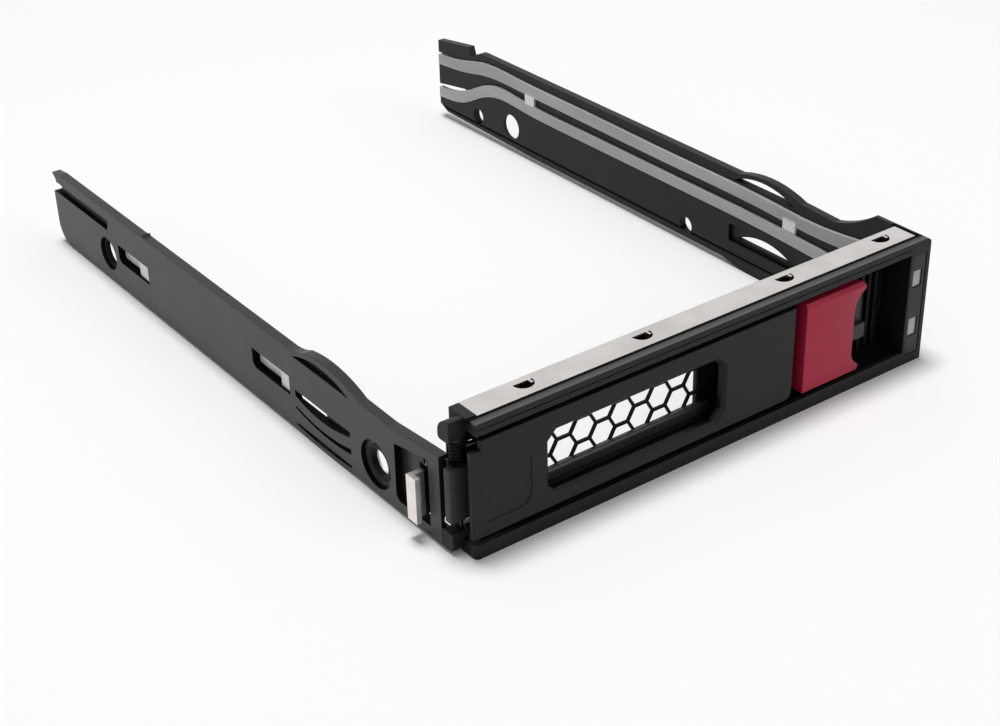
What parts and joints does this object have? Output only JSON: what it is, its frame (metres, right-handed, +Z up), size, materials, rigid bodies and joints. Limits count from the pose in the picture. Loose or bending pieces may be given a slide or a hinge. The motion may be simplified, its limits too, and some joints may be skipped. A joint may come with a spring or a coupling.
{
  "type": "hot swap drive caddy",
  "caption": "Hot swap drive caddy: U-shaped black plastic carrier with a vented swing lever, release button, light pipes and steel shield strip.",
  "frame": {"origin": "middle of the footprint on the ground plane", "axes": "+X right along the bezel seen from the front, +Y to the rear, +Z up; the front face looks to -Y"},
  "size_m": [0.1092, 0.1566, 0.0256],
  "materials": {
    "black_plastic": "fine grained black moulding",
    "grey_plastic": "dark grey moulding",
    "magenta_plastic": "smooth magenta moulding",
    "smoked_plastic": "smoked dark panel",
    "clear_plastic": "frosted clear light pipe",
    "stainless": "plain stainless sheet",
    "black_steel": "black coated sheet",
    "spring_steel": "bright spring wire"
  },
  "bodies": {
    "carrier": {"bezel_frame": "black_plastic", "left_rail": "black_plastic", "top_strip": "stainless", "vent_mesh": "black_steel", "hinge_pin": "stainless", "hinge_spring": "spring_steel", "latch_keeper": "grey_plastic", "led_panel": "smoked_plastic", "light_pipes": "clear_plastic", "rear_contact": "stainless", "middle_contact": "stainless", "front_bracket": "stainless"},
    "handle": {"lever": "black_plastic", "claw": "stainless", "claw_rivets": "stainless", "button_spring": "spring_steel"},
    "button": {"release_button": "magenta_plastic", "latch_plate": "stainless"}
  },
  "joints": [
    {"name": "lever_hinge", "type": "hinge", "parent": "carrier", "child": "handle", "pos_m": [-0.0496, -0.0736, 0.012], "axis": [0, 0, -1], "range_deg": [0, 28]},
    {"name": "button_slide", "type": "slide", "parent": "handle", "child": "button", "axis": [-1, 0, 0], "range_m": [0, 0.0022], "stiffness_N_per_m": 400, "springref_m": -0.0015, "deforming": ["button_spring"]}
  ]
}
